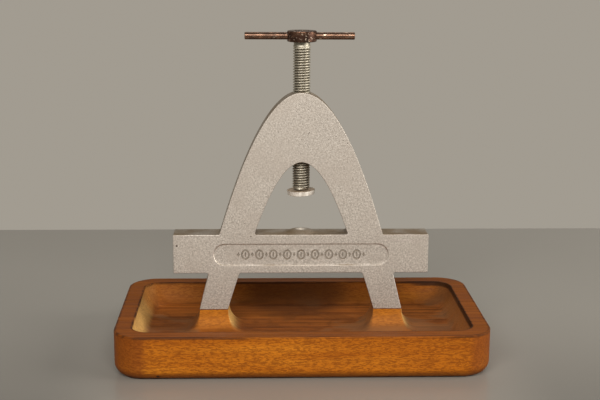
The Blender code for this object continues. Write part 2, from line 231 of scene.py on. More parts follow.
def edges_of(work, loops):
    edges = []
    for loop in loops:
        for index, corner in enumerate(loop):
            pair = (loop[index - 1], corner)
            edges.append(work.edges.get(pair) or work.edges.new(pair))
    return edges


def fill(work, *loops):
    """Fills the flat area between closed loops of vertices: an outer one, and its holes."""
    bmesh.ops.triangle_fill(work, use_beauty=True, use_dissolve=False, edges=edges_of(work, loops))


def cap(work, loop):
    work.faces.new(loop)


def circle(radius, z, steps, center_x):
    return [
        Vector((
            center_x + radius * math.cos(4 * QUARTER * step / steps),
            radius * math.sin(4 * QUARTER * step / steps),
            z,
        ))
        for step in range(steps)
    ]


def turned(profile, steps, shape=None):
    """A closed solid turned about Z from (radius, z) points, which shape may move in or out."""
    work = bmesh.new()
    layers = []
    for radius, z in profile:
        if radius == 0:
            layers.append([work.verts.new((0, 0, z))])
            continue
        points = []
        for step in range(steps):
            turn = step / steps
            reach = shape(radius, z, turn) if shape else radius
            angle = 4 * QUARTER * turn
            points.append(Vector((reach * math.cos(angle), reach * math.sin(angle), z)))
        layers.append(add_ring(work, points))
    if len(layers[0]) > 1:
        layers.append(layers[0])
    for upper, lower in zip(layers, layers[1:]):
        if len(upper) == len(lower):
            join_rings(work, lower, upper)
            continue
        tip, loop = (upper[0], lower) if len(upper) == 1 else (lower[0], upper)
        for index in range(steps):
            work.faces.new((tip, loop[index - 1], loop[index]))
    return work


def round_profile(center_radius, center_z, size, first, last, steps=4):
    """Points (radius, z) of an arc from one angle to another, in quarter turns from outward."""
    points = []
    for step in range(steps + 1):
        angle = QUARTER * (first + (last - first) * step / steps)
        points.append((center_radius + size * math.cos(angle), center_z + size * math.sin(angle)))
    return points


def solid(name, work):
    bmesh.ops.recalc_face_normals(work, faces=work.faces)
    mesh = bpy.data.meshes.new(name)
    work.to_mesh(mesh)
    work.free()
    thing = bpy.data.objects.new(name, mesh)
    bpy.context.scene.collection.objects.link(thing)
    return thing


def combine(thing, tool, operation):
    """A Boolean, applied at once."""
    change = thing.modifiers.new(operation, "BOOLEAN")
    change.object = tool
    change.operation = operation
    change.solver = "EXACT"
    graph = bpy.context.evaluated_depsgraph_get()
    mesh = bpy.data.meshes.new_from_object(thing.evaluated_get(graph))
    thing.modifiers.clear()
    thing.data = mesh
    bpy.data.objects.remove(tool)


def finish_piece(thing, material, body, nodes, sharp=35):
    mesh = thing.data
    mesh.materials.clear()
    mesh.materials.append(material)
    mesh.shade_smooth()
    mesh.set_sharp_from_angle(angle=math.radians(sharp))
    weighted = thing.modifiers.new("weighted", "WEIGHTED_NORMAL")
    weighted.keep_sharp = True
    weighted.weight = 80
    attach(thing, body)
    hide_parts(*nodes)


# Tray


def rounded_rectangle(half_x, half_y, radius, z, center_x=0.0, steps=12, cuts=(24, 12)):
    """Ring of points round a rectangle with round corners, its straight sides cut as told."""
    points = []
    sides = ((1, 1), (-1, 1), (-1, -1), (1, -1))
    for quarter, (side_x, side_y) in enumerate(sides):
        for step in range(steps + 1):
            angle = QUARTER * (quarter + step / steps)
            points.append(Vector((
                center_x + side_x * (half_x - radius) + radius * math.cos(angle),
                side_y * (half_y - radius) + radius * math.sin(angle),
                z,
            )))
        start = points[-1]
        next_x, next_y = sides[(quarter + 1) % 4]
        end_angle = QUARTER * (quarter + 1)
        end = Vector((
            center_x + next_x * (half_x - radius) + radius * math.cos(end_angle),
            next_y * (half_y - radius) + radius * math.sin(end_angle),
            z,
        ))
        count = cuts[quarter % 2]
        points += [start.lerp(end, cut / (count + 1)) for cut in range(1, count + 1)]
    return points


def inset_ring(inset, radius, z):
    return rounded_rectangle(TRAY_HALF_X - inset, TRAY_HALF_Y - inset, radius, z)


def tray_skin_rings():
    """Rings from the underside, up the outside, over the rim and down the cove to the floor."""
    rings = []
    for step in range(9):
        angle = QUARTER * step / 8
        inset = FOOT_ROUND * (1 - math.sin(angle))
        rings.append(inset_ring(inset, TRAY_CORNER - inset, FOOT_ROUND * (1 - math.cos(angle))))
    for step in range(5):
        angle = QUARTER * step / 4
        inset = TOP_ROUND * (1 - math.cos(angle))
        z = TRAY_TOP - TOP_ROUND * (1 - math.sin(angle))
        rings.append(inset_ring(inset, TRAY_CORNER - inset, z))
    for step in range(4):
        angle = QUARTER * step / 4
        inset = RIM_WIDTH - RIM_ROUND * (1 - math.sin(angle))
        z = TRAY_TOP - RIM_ROUND * (1 - math.cos(angle))
        rings.append(inset_ring(inset, HOLLOW_CORNER + RIM_ROUND, z))
    for step in range(2, 17):
        share = math.sin(QUARTER * step / 16)
        closed_in = 1 - max(0.0, 1 - share**COVE_BEND) ** (1 / COVE_BEND)
        z = TRAY_TOP - HOLLOW_DEPTH * share
        rings.append(inset_ring(RIM_WIDTH + COVE_WIDTH * closed_in, HOLLOW_CORNER, z))
    return rings


def plinth_rings(x):
    rings = []
    for step in range(16, -1, -1):
        share = math.sin(QUARTER * step / 16)
        flare = PLINTH_FLARE * (1 - math.sqrt(max(0.0, 1 - share * share)))
        half = PLINTH_HALF + flare
        z = TRAY_TOP - HOLLOW_DEPTH * share
        rings.append(rounded_rectangle(half, half, 0.5 * MM + 0.8 * flare, z, x, 6, (6, 6)))
    return rings


def wood_irregularity(point):
    """Slight unevenness left by hand sanding and wear."""
    slow = noise.noise_vector(point * 22) * 0.10 * MM
    quick = noise.noise_vector(point * 140) * 0.05 * MM
    return slow + quick


def build_tray(material):
    work = bmesh.new()
    bottom, floor = loft(work, tray_skin_rings())
    bottom_holes = []
    floor_holes = []
    for x in (-SCREW_X, SCREW_X):
        base, top = loft(work, plinth_rings(x))
        floor_holes.append(base)
        mouth, passage = loft(work, [
            circle(COUNTERBORE_RADIUS + EDGE_BREAK, 0, SMALL_ROUND, x),
            circle(COUNTERBORE_RADIUS, EDGE_BREAK, SMALL_ROUND, x),
            circle(COUNTERBORE_RADIUS, COUNTERBORE_DEPTH, SMALL_ROUND, x),
            circle(PASSAGE_RADIUS, COUNTERBORE_DEPTH, SMALL_ROUND, x),
            circle(PASSAGE_RADIUS, TRAY_TOP, SMALL_ROUND, x),
        ])
        bottom_holes.append(mouth)
        fill(work, top, passage)
    fill(work, floor, *floor_holes)
    fill(work, bottom, *bottom_holes)
    noise.seed_set(WOOD_SEED)
    for corner in work.verts:
        moved = corner.co + wood_irregularity(corner.co)
        for axis in range(3):
            corner.co[axis] = min(max(moved[axis], TRAY_LOW[axis]), TRAY_HIGH[axis])
    tray = solid("tray_wood", work)
    finish_piece(tray, material, "stand", ["tray"])


# Frame


def parabola_x(drop, width, spread):
    return math.sqrt(width * drop + spread * drop * drop)


def arch_corners(apex, width, spread, low, steps):
    """Corners down the right side of a parabola, from its apex to the height low."""
    corners = []
    for step in range(steps + 1):
        drop = (apex - low) * (step / steps) ** 2
        corners.append((parabola_x(drop, width, spread), apex - drop, 0))
    return corners


def filleted_end(corners):
    x, z, _ = corners[-1]
    return corners[:-1] + [(x, z, ARCH_FILLET)]


def both_sides(right):
    """Clockwise corners from those of the right half, the first of which is on the middle line."""
    return right + [(-x, z, radius) for x, z, radius in reversed(right[1:])]


def outer_x(z):
    return parabola_x(OUTER_APEX - z, OUTER_WIDTH, OUTER_SPREAD)


def leg_x(z):
    return parabola_x(INNER_APEX - z, INNER_WIDTH, LEG_SPREAD)


def casting_corners():
    low = FOOT_Z - 2 * MM
    knees = [BAR_BOTTOM + (low - BAR_BOTTOM) * share for share in (0.25, 0.5, 0.75, 1)]
    right = filleted_end(arch_corners(OUTER_APEX, OUTER_WIDTH, OUTER_SPREAD, BAR_TOP, 44))
    right += [(BAR_HALF, BAR_TOP, BAR_CORNER), (BAR_HALF, BAR_BOTTOM, BAR_CORNER)]
    right.append((outer_x(BAR_BOTTOM), BAR_BOTTOM, LEG_FILLET))
    right += [(outer_x(z), z, 0) for z in knees]
    right += [(leg_x(z), z, 0) for z in reversed(knees)]
    right.append((leg_x(BAR_BOTTOM), BAR_BOTTOM, LEG_FILLET))
    return both_sides(right)


def window_corners():
    side = arch_corners(INNER_APEX, INNER_WIDTH, INNER_SPREAD, BAR_TOP, 26)
    return both_sides(filleted_end(side))


def moved_corners(corners, inset):
    """Clockwise corners moved inward by inset, with each fillet's radius following."""
    moved = []
    for index, (x, z, radius) in enumerate(corners):
        point = Vector((x, z))
        along = (point - Vector(corners[index - 1][:2])).normalized()
        onward = (Vector(corners[(index + 1) % len(corners)][:2]) - point).normalized()
        first = Vector((along.y, -along.x))
        second = Vector((onward.y, -onward.x))
        place = point + (first + second) * inset / (1 + first.dot(second))
        if radius:
            turns_right = along.x * onward.y - along.y * onward.x < 0
            radius = max(0.2 * MM, radius - inset if turns_right else radius + inset)
        moved.append((place.x, place.y, radius))
    return moved


def rounded_outline(corners, y, steps=7):
    """Points at the depth y round clockwise corners, each with a radius made an arc."""
    points = []
    for index, (x, z, radius) in enumerate(corners):
        corner = Vector((x, z))
        if radius == 0:
            points.append(corner)
            continue
        before = (Vector(corners[index - 1][:2]) - corner).normalized()
        after = (Vector(corners[(index + 1) % len(corners)][:2]) - corner).normalized()
        half = before.angle(after) / 2
        center = corner + (before + after).normalized() * radius / math.sin(half)
        start = corner + before * radius / math.tan(half) - center
        end = corner + after * radius / math.tan(half) - center
        sweep = start.angle_signed(end)
        for step in range(steps + 1):
            turn = Matrix.Rotation(-sweep * step / steps, 2)
            points.append(center + turn @ start)
    return [Vector((point.x, y, point.y)) for point in points]


def wall_levels():
    """(depth y, inset) from the front face to the back, with both edges rounded."""
    levels = []
    for step in range(5):
        angle = QUARTER * step / 4
        y = FRONT + FRONT_EDGE * (1 - math.cos(angle))
        levels.append((y, FRONT_EDGE * (1 - math.sin(angle))))
    for step in range(5, -1, -1):
        angle = QUARTER * step / 5
        levels.append((BACK - BACK_EDGE * (1 - math.cos(angle)), BACK_EDGE * (1 - math.sin(angle))))
    return [(y, inset + DRAFT * (y - FRONT)) for y, inset in levels]


def wall(work, corners, side):
    """The casting's wall from front to back: side is 1 outside, and -1 in the window."""
    rings = [
        rounded_outline(moved_corners(corners, side * inset), y) for y, inset in wall_levels()
    ]
    return loft(work, rings)


def flat_shape(points, center_x, center_z, y):
    return [Vector((center_x + x, y, center_z + z)) for x, z in points]


def ellipse_points(half_width, half_height, steps=32):
    angles = [4 * QUARTER * step / steps for step in range(steps)]
    return [(half_width * math.cos(angle), half_height * math.sin(angle)) for angle in angles]


def stadium_points(half_length, radius, steps=20):
    """Points round a stadium lying along X, its length over both round ends."""
    points = []
    for end, turn in ((1, -1), (-1, 1)):
        for step in range(steps + 1):
            angle = QUARTER * (turn + 2 * step / steps)
            center = end * (half_length - radius)
            points.append((center + radius * math.cos(angle), radius * math.sin(angle)))
    return points


def lozenge_points(half_width, half_height, steps=6):
    corners = [(half_width, 0), (0, half_height), (-half_width, 0), (0, -half_height)]
    points = []
    for index, (x, z) in enumerate(corners):
        next_x, next_z = corners[(index + 1) % 4]
        for step in range(steps):
            share = step / steps
            points.append((x + (next_x - x) * share, z + (next_z - z) * share))
    return points


def engrave_shape(work, shape, width, height, x, y):
    """A shape sunk into the panel's floor at the depth y; returns its loop in that floor."""
    wide = shape(width, height)
    narrow = shape(width - GROOVE_SLOPE, height - GROOVE_SLOPE)
    mouth, bottom = loft(work, [
        flat_shape(wide, x, PANEL_Z, y),
        flat_shape(narrow, x, PANEL_Z, y + GROOVE_DEPTH),
    ])
    cap(work, bottom)
    return mouth


def engrave_nut(work, x, y):
    """A ring groove with a short seam in its middle; returns the ring's loop in the floor."""
    low = y + GROOVE_DEPTH
    steps = (
        (0, y),
        (GROOVE_SLOPE, low),
        (GROOVE_WIDTH - GROOVE_SLOPE, low),
        (GROOVE_WIDTH, y),
    )
    rings = [
        flat_shape(
            ellipse_points(NUT_HALF_WIDTH - inset, NUT_HALF_HEIGHT - inset), x, PANEL_Z, depth
        )
        for inset, depth in steps
    ]
    mouth, island = loft(work, rings)
    seam = engrave_shape(work, ellipse_points, SEAM_HALF_WIDTH, SEAM_HALF_HEIGHT, x, y)
    fill(work, island, seam)
    return mouth


def build_panel(work):
    """The sunk panel with its ornament; returns its loop in the front face."""
    floor_y = FRONT + PANEL_DEPTH
    levels = (
        (FRONT, 0.55 * MM),
        (FRONT + 0.12 * MM, 0.30 * MM),
        (FRONT + 0.35 * MM, 0.12 * MM),
        (floor_y - 0.35 * MM, -0.15 * MM),
        (floor_y - 0.10 * MM, -0.30 * MM),
        (floor_y, -0.60 * MM),
    )
    rings = [
        flat_shape(stadium_points(PANEL_HALF + grow, PANEL_RADIUS + grow), 0, PANEL_Z, y)
        for y, grow in levels
    ]
    mouth, floor = loft(work, rings)
    holes = []
    for index in range(NUT_COUNT):
        x = (index - (NUT_COUNT - 1) / 2) * NUT_SPACING
        holes.append(engrave_nut(work, x, floor_y))
    for index in range(NUT_COUNT + 1):
        x = (index - NUT_COUNT / 2) * NUT_SPACING
        holes.append(engrave_shape(
            work, lozenge_points, LOZENGE_HALF_WIDTH, LOZENGE_HALF_HEIGHT, x, floor_y
        ))
    fill(work, floor, *holes)
    return mouth


def trim_feet(work):
    """Cuts the legs off at the plinths and closes them round the tapped holes."""
    everything = work.verts[:] + work.edges[:] + work.faces[:]
    cut = bmesh.ops.bisect_plane(
        work,
        geom=everything,
        dist=1e-7,
        plane_co=(0, 0, FOOT_Z),
        plane_no=(0, 0, 1),
        clear_inner=True,
    )
    rims = [part for part in cut["geom_cut"] if isinstance(part, bmesh.types.BMEdge)]
    for x in (-SCREW_X, SCREW_X):
        mouth, end = loft(work, [
            circle(TAPPED_RADIUS, FOOT_Z, 32, x),
            circle(TAPPED_RADIUS, FOOT_Z + TAPPED_DEPTH, 32, x),
        ])
        cap(work, end)
        rims += edges_of(work, [mouth])
    bmesh.ops.triangle_fill(work, use_beauty=True, use_dissolve=False, edges=rims)


def anvil_profile():
    top = BAR_TOP + ANVIL_HEIGHT
    profile = [(0, top - DISH_DEPTH)]
    for step in range(1, 9):
        share = step / 8
        profile.append((DISH_RADIUS * share, top - DISH_DEPTH * (1 - share**2)))
    for step in range(13):
        share = step / 12
        radius = ANVIL_TOP_RADIUS + (ANVIL_RADIUS - ANVIL_TOP_RADIUS) * share
        profile.append((radius, BAR_TOP + ANVIL_HEIGHT * (1 + math.cos(math.pi * share)) / 2))
    return profile + [(ANVIL_RADIUS, BAR_TOP - MM), (0, BAR_TOP - MM)]


def build_frame(material):
    work = bmesh.new()
    front, back = wall(work, casting_corners(), 1)
    window_front, window_back = wall(work, window_corners(), -1)
    fill(work, front, window_front, build_panel(work))
    fill(work, back, window_back)
    trim_feet(work)
    casting = solid("frame_casting", work)
    anvil = turned(anvil_profile(), 64)
    anvil.transform(Matrix.Diagonal((ANVIL_STRETCH, 1, 1, 1)))
    combine(casting, solid("anvil_tool", anvil), "UNION")
    bore = [
        (0, OUTER_APEX + 2 * MM),
        (CROWN_BORE, OUTER_APEX + 2 * MM),
        (CROWN_BORE, INNER_APEX - 5 * MM),
        (0, INNER_APEX - 5 * MM),
    ]
    combine(casting, solid("bore_tool", turned(bore, 64)), "DIFFERENCE")
    finish_piece(casting, material, "stand", ["frame"])


# Spindle, head and tommy bar


def groove_share(phase):
    """0 on the crest of a rolled thread and 1 at its root, from the place within one pitch."""
    away = abs(phase % 1 - 0.5) * 2
    return min(1.0, max(0.0, (away - CREST_SHARE) / FLANK_SHARE))


def thread_shape(radius, z, turn):
    """Cuts the helical thread into rings that lie within the threaded length."""
    low = SPINDLE_LOW.z + THREAD_RUNOUT
    high = HEAD_LOW.z - NECK_LENGTH - THREAD_RUNOUT
    fade = min(1.0, max(0.0, (high - z) / THREAD_FADE), max(0.0, (z - low) / THREAD_END_FADE))
    if radius < THREAD_RADIUS - 0.02 * MM or fade <= 0:
        return radius
    return radius - THREAD_DEPTH * fade * groove_share(z / THREAD_PITCH - turn)


def build_spindle(material):
    end = SPINDLE_LOW.z
    shoulder = HEAD_LOW.z - 0.1 * MM
    neck_end = HEAD_LOW.z - NECK_LENGTH
    top = HEAD_LOW.z + SPIGOT_DEPTH
    profile = [
        (0, top),
        (SPIGOT_RADIUS, top),
        (SPIGOT_RADIUS, shoulder),
        (NECK_RADIUS - 0.3 * MM, shoulder),
        (NECK_RADIUS, shoulder - 0.3 * MM),
        (NECK_RADIUS, neck_end + 0.2 * MM),
        (THREAD_RADIUS, neck_end - 0.5 * MM),
    ]
    high = neck_end - THREAD_RUNOUT
    low = end + SPINDLE_CHAMFER
    count = round((high - low) / THREAD_PITCH * RINGS_PER_PITCH)
    for index in range(count + 1):
        profile.append((THREAD_RADIUS, high + (low - high) * index / count))
    profile += [
        (THREAD_RADIUS - 0.5 * MM, end + 0.5 * MM),
        (THREAD_RADIUS - SPINDLE_CHAMFER, end),
        (SPINDLE_TAP_RADIUS, end),
        (SPINDLE_TAP_RADIUS, end + SPINDLE_TAP_DEPTH),
        (0, end + SPINDLE_TAP_DEPTH),
    ]
    spindle = solid("spindle_thread", turned(profile, SMALL_ROUND, thread_shape))
    finish_piece(spindle, material, "screw", ["spindle"], sharp=60)


def build_head(material):
    low, high = HEAD_LOW.z, HEAD_HIGH.z
    inner = HEAD_RADIUS - HEAD_ROUND
    profile = [
        (0, high - 0.10 * MM),
        (SPIGOT_RADIUS - 0.5 * MM, high - 0.12 * MM),
        (SPIGOT_RADIUS - 0.1 * MM, high - 0.35 * MM),
        (SPIGOT_RADIUS + 0.1 * MM, high - 0.35 * MM),
        (SPIGOT_RADIUS + 0.35 * MM, high),
    ]
    profile += round_profile(inner, high - HEAD_ROUND, HEAD_ROUND, 1, 0)
    profile += round_profile(inner, low + HEAD_ROUND, HEAD_ROUND, 0, -1)
    socket_radius = SPIGOT_RADIUS + 0.1 * MM
    socket_end = low + SPIGOT_DEPTH + 0.1 * MM
    profile += [(socket_radius, low), (socket_radius, socket_end), (0, socket_end)]
    head = solid("head_turned", turned(profile, WIDE_ROUND))
    hole = [
        (0, 2 * HEAD_RADIUS),
        (BAR_RADIUS + CROSS_HOLE_GAP, 2 * HEAD_RADIUS),
        (BAR_RADIUS + CROSS_HOLE_GAP, -2 * HEAD_RADIUS),
        (0, -2 * HEAD_RADIUS),
    ]
    tool = solid("cross_hole_tool", turned(hole, 40))
    tool.matrix_world = Matrix.Translation((0, 0, BAR_CENTER.z)) @ Matrix.Rotation(QUARTER, 4, "Y")
    bpy.context.view_layer.update()
    combine(head, tool, "DIFFERENCE")
    finish_piece(head, material, "screw", ["spindle_head"])


def build_bar(material):
    half = (BAR_HIGH.x - BAR_LOW.x) / 2
    inner = BAR_RADIUS - BAR_END_ROUND
    profile = [(0, half)]
    profile += round_profile(inner, half - BAR_END_ROUND, BAR_END_ROUND, 1, 0)
    profile += round_profile(inner, BAR_END_ROUND - half, BAR_END_ROUND, 0, -1)
    profile.append((0, -half))
    work = turned(profile, 40)
    work.transform(Matrix.Translation(BAR_CENTER) @ Matrix.Rotation(QUARTER, 4, "Y"))
    bar = solid("bar_turned", work)
    finish_piece(bar, material, "screw", ["tommy_bar"])


# Disc and fixings


def build_disc(material):
    half = DISC_THICKNESS / 2
    foot = DISC_FOOT_RADIUS
    profile = [(DISC_HOLE_RADIUS, half)]
    profile += round_profile(DISC_RADIUS - DISC_ROUND, half - DISC_ROUND, DISC_ROUND, 1, 0)
    profile += round_profile(foot - DISC_ROUND, DISC_ROUND - half, DISC_ROUND, 0, -1)
    profile += [
        (DISC_RECESS_RADIUS + 0.2 * MM, -half),
        (DISC_RECESS_RADIUS, 0.2 * MM - half),
        (DISC_RECESS_RADIUS, DISC_RECESS_DEPTH - half),
        (DISC_HOLE_RADIUS, DISC_RECESS_DEPTH - half),
    ]
    work = turned(profile, WIDE_ROUND)
    place = Matrix.Translation((0, 0, DISC_BOTTOM + half))
    work.transform(place @ Matrix.Rotation(DISC_TILT, 4, "Y"))
    disc = solid("disc_turned", work)
    finish_piece(disc, material, "pressure_foot", ["pressure_disc"])


def slotted(screw, center, half_length, low, width, depth):
    """Cuts a screwdriver slot along X into a screw head that faces down."""
    work = bmesh.new()
    bmesh.ops.create_cube(work, size=1)
    middle = Vector((center, 0, low + (depth - MM) / 2))
    size = Vector((2 * half_length, width, depth + MM))
    for corner in work.verts:
        corner.co = middle + corner.co * size
    combine(screw, solid("slot_tool", work), "DIFFERENCE")


def build_screw(name, node, body, material, size):
    """A cheese-head screw, head down, in its CAD solid's box."""
    low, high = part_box(node)
    shank, head_height, slot_width, slot_depth = size
    head = (high.x - low.x) / 2
    center = (low.x + high.x) / 2
    edge = SCREW_HEAD_ROUND
    profile = [
        (0, high.z),
        (shank - 0.5 * MM, high.z),
        (shank, high.z - 0.5 * MM),
        (shank, low.z + head_height),
    ]
    profile += round_profile(head - edge, low.z + head_height - edge, edge, 1, 0, 3)
    profile += round_profile(head - edge, low.z + edge, edge, 0, -1, 3)
    profile.append((0, low.z))
    work = turned(profile, SMALL_ROUND)
    work.transform(Matrix.Translation((center, 0, 0)))
    screw = solid(name, work)
    slotted(screw, center, 2 * head, low.z, slot_width, slot_depth)
    finish_piece(screw, material, body, [node])


def build_washer(name, node, material):
    low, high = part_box(node)
    outer = (high.x - low.x) / 2
    edge = WASHER_ROUND
    profile = [(WASHER_HOLE_RADIUS, high.z)]
    profile += round_profile(outer - edge, high.z - edge, edge, 1, 0, 3)
    profile += round_profile(outer - edge, low.z + edge, edge, 0, -1, 3)
    profile.append((WASHER_HOLE_RADIUS, low.z))
    work = turned(profile, SMALL_ROUND)
    work.transform(Matrix.Translation(((low.x + high.x) / 2, 0, 0)))
    finish_piece(solid(name, work), material, "stand", [node])


# Materials. Colours are linear red, green, blue and alpha.

# Wood
# Pale end grain with painted light from the right, for the hollow's faces that turn to +X.
LIT_END_GRAIN = (0.78, 0.475, 0.155, 1)
# Painted shade for the hollow's faces that turn to -X, away from the light.
SHADED_COVE_BROWN = (0.24, 0.115, 0.048, 1)
FRESH_WOOD = (0.46, 0.170, 0.020, 1)
BLOTCH_BROWN = (0.34, 0.086, 0.006, 1)
FIBRE_BROWN = (0.24, 0.062, 0.006, 1)
# End grain and painted shade on the tray's rounded ends, where the surface turns from the light.
END_GRAIN_AND_SHADE_BROWN = (0.195, 0.049, 0.008, 1)
# Painted shade on the hollow's back wall, under the frame.
WALL_SHADE_BROWN = (0.235, 0.088, 0.022, 1)
FLECK_BROWN = (0.145, 0.033, 0.004, 1)
# The rim's darker colour: partly its own, partly painted shade on the level rim.
RIM_SHADE_BROWN = (0.150, 0.038, 0.006, 1)
FOOT_BROWN = (0.15, 0.040, 0.006, 1)
STAIN_BROWN = (0.205, 0.108, 0.050, 1)
EDGE_BLACK = (0.055, 0.018, 0.006, 1)
# A dark strip just under the rim's inner edge, towards the right.
LIP_STRIP_BLACK = (0.040, 0.014, 0.005, 1)
TIDE_BLACK = (0.050, 0.018, 0.006, 1)
# Black for the nick and for the patches of painted shade and stain.
SHADE_AND_NICK_BLACK = (0.050, 0.015, 0.004, 1)

# Metal
CAST_SMOOTH = (0.590, 0.542, 0.490, 1)
CAST_CLOUD = (0.48, 0.430, 0.380, 1)
# Painted shade in the floors of the engraved grooves.
GROOVE_SHADE = (0.26, 0.215, 0.165, 1)
# Painted shade on the casting's faces that turn sideways, away from the light.
SIDEWAYS_SHADE = (0.20, 0.145, 0.085, 1)
# Dirt and painted shade on the casting's upward faces.
GRIME_AND_SHADE = (0.21, 0.140, 0.065, 1)
# The anvil's top: a polished seat, partly a painted highlight.
POLISH_AND_HIGHLIGHT = (0.60, 0.54, 0.46, 1)
CAST_PORE = (0.10, 0.08, 0.06, 1)
# Painted shade in the thread's roots, with some old oily soiling.
ROOT_SHADE_AND_DIRT = (0.085, 0.068, 0.045, 1)
NECK_SHADE = (0.30, 0.275, 0.215, 1)
# A paler tint that stands in for the tommy bar's sheen: a painted sheen.
SHEEN_TINT = (0.42, 0.26, 0.17, 1)
WORN_STEEL = (0.62, 0.50, 0.39, 1)


class Shading:
    """A material's node tree, with one short call for each kind of node."""

    def __init__(self, name):
        self.material = bpy.data.materials.new(name)
        self.material.use_nodes = True
        self.tree = self.material.node_tree
        self.shader = self.tree.nodes["Principled BSDF"]
        coordinates = self.tree.nodes.new("ShaderNodeTexCoord")
        self.place = coordinates.outputs["Object"]
        self.facing = coordinates.outputs["Normal"]

    def node(self, kind, inputs=(), **settings):
        made = self.tree.nodes.new(kind)
        for key, value in settings.items():
            setattr(made, key, value)
        for socket, value in inputs:
            self.feed(made.inputs[socket], value)
        return made

    def feed(self, socket, value):
        if isinstance(value, bpy.types.NodeSocket):
            self.tree.links.new(value, socket)
        else:
            socket.default_value = value

    def stretched(self, scale, offset=(0, 0, 0)):
        made = self.node(
            "ShaderNodeMapping", [("Vector", self.place), ("Scale", scale), ("Location", offset)]
        )
        return made.outputs["Vector"]

    def noise(self, vector, scale=1.0, detail=3.0, roughness=0.5, distortion=0.0):
        made = self.node("ShaderNodeTexNoise", [
            ("Vector", vector),
            ("Scale", scale),
            ("Detail", detail),
            ("Roughness", roughness),
            ("Distortion", distortion),
        ])
        return made.outputs["Fac"]

    def cells(self, vector, scale):
        made = self.node("ShaderNodeTexVoronoi", [("Vector", vector), ("Scale", scale)])
        return made.outputs["Distance"]

    def step(self, value, low, high, start=0.0, end=1.0):
        """Goes smoothly from start to end as value goes from low to high."""
        made = self.node("ShaderNodeMapRange", [
            ("Value", value),
            ("From Min", low),
            ("From Max", high),
            ("To Min", start),
            ("To Max", end),
        ], interpolation_type="SMOOTHSTEP")
        return made.outputs["Result"]

    def math(self, operation, first, second=0.0):
        made = self.node("ShaderNodeMath", [(0, first), (1, second)], operation=operation)
        return made.outputs[0]

    def product(self, first, *others):
        for other in others:
            first = self.math("MULTIPLY", first, other)
        return first

    def axis(self, vector, name):
        return self.node("ShaderNodeSeparateXYZ", [(0, vector)]).outputs[name]

    def near(self, place, radius):
        """1 within a distance of a place, going smoothly to 0 at twice that distance."""
        made = self.node(
            "ShaderNodeVectorMath", [(0, self.place), (1, place)], operation="DISTANCE"
        )
        return self.step(made.outputs["Value"], 2 * radius, radius)

    def mix(self, share, first, second):
        made = self.node("ShaderNodeMix", data_type="RGBA")
        self.feed(made.inputs["Factor"], share)
        self.feed(made.inputs["A"], first)
        self.feed(made.inputs["B"], second)
        return made.outputs["Result"]

    def ramp(self, value, *stops):
        made = self.node("ShaderNodeValToRGB", [("Fac", value)])
        elements = made.color_ramp.elements
        while len(elements) < len(stops):
            elements.new(0.5)
        for element, (place, color) in zip(elements, stops):
            element.position = place
            element.color = color
        return made.outputs["Color"]

    def bump(self, height, distance, strength):
        made = self.node(
            "ShaderNodeBump", [("Height", height), ("Distance", distance), ("Strength", strength)]
        )
        return made.outputs["Normal"]

    def finish(self, color, roughness, metallic=0.0, normal=None, **constants):
        self.feed(self.shader.inputs["Base Color"], color)
        self.feed(self.shader.inputs["Roughness"], roughness)
        self.feed(self.shader.inputs["Metallic"], metallic)
        if normal is not None:
            self.feed(self.shader.inputs["Normal"], normal)
        for name, value in constants.items():
            title = name.replace("_", " ").title().replace("Ior", "IOR")
            self.shader.inputs[title].default_value = value
        return self.material


def edge_distance(look, inset, radius):
    """How far a point lies outside a rounded rectangle that is inset from the tray's outline."""
    half_x = TRAY_HALF_X - inset - radius
    half_y = TRAY_HALF_Y - inset - radius
    x = look.math("SUBTRACT", look.math("ABSOLUTE", look.axis(look.place, "X")), half_x)
    y = look.math("SUBTRACT", look.math("ABSOLUTE", look.axis(look.place, "Y")), half_y)
    outer_x = look.math("MAXIMUM", x, 0.0)
    outer_y = look.math("MAXIMUM", y, 0.0)
    square = look.math("ADD", look.product(outer_x, outer_x), look.product(outer_y, outer_y))
    inner = look.math("MINIMUM", look.math("MAXIMUM", x, y), 0.0)
    return look.math("SUBTRACT", look.math("ADD", look.math("SQRT", square), inner), radius)


class WoodShading(Shading):
    """The tray's shading, with the wood's patterns and the masks that tell its zones apart."""

    def __init__(self, name):
        super().__init__(name)
        self.streak = self.noise(
            self.stretched((5, 60, 90)), detail=6, roughness=0.6, distortion=0.4
        )
        self.grain = self.noise(
            self.stretched((13, 270, 230), (1, 2, 3)), detail=4, roughness=0.6
        )
        self.fibre = self.noise(self.stretched((70, 1500, 1500)), detail=3, roughness=0.7)
        self.blotch = self.noise(self.stretched((16, 22, 26)), detail=3)
        self.patchy = self.noise(self.stretched((24, 34, 34), (2, 4, 1)), detail=5)
        short = self.noise(
            self.stretched((360, 1500, 1500)), detail=2, roughness=0.6, distortion=0.6
        )
        long = self.noise(
            self.stretched((140, 900, 900), (3, 5, 7)), detail=3, roughness=0.6, distortion=0.8
        )
        self.fleck = self.math(
            "MAXIMUM", self.step(short, 0.47, 0.60), self.step(long, 0.51, 0.63)
        )

        self.x = self.axis(self.place, "X")
        self.y = self.axis(self.place, "Y")
        self.z = self.axis(self.place, "Z")
        self.up = self.step(self.axis(self.facing, "Z"), 0.45, 0.9)
        self.from_rim = edge_distance(self, RIM_WIDTH, HOLLOW_CORNER)
        self.hollow = self.step(self.from_rim, 0.4 * MM, -0.4 * MM)
        self.outside = self.math("SUBTRACT", 1.0, self.hollow)


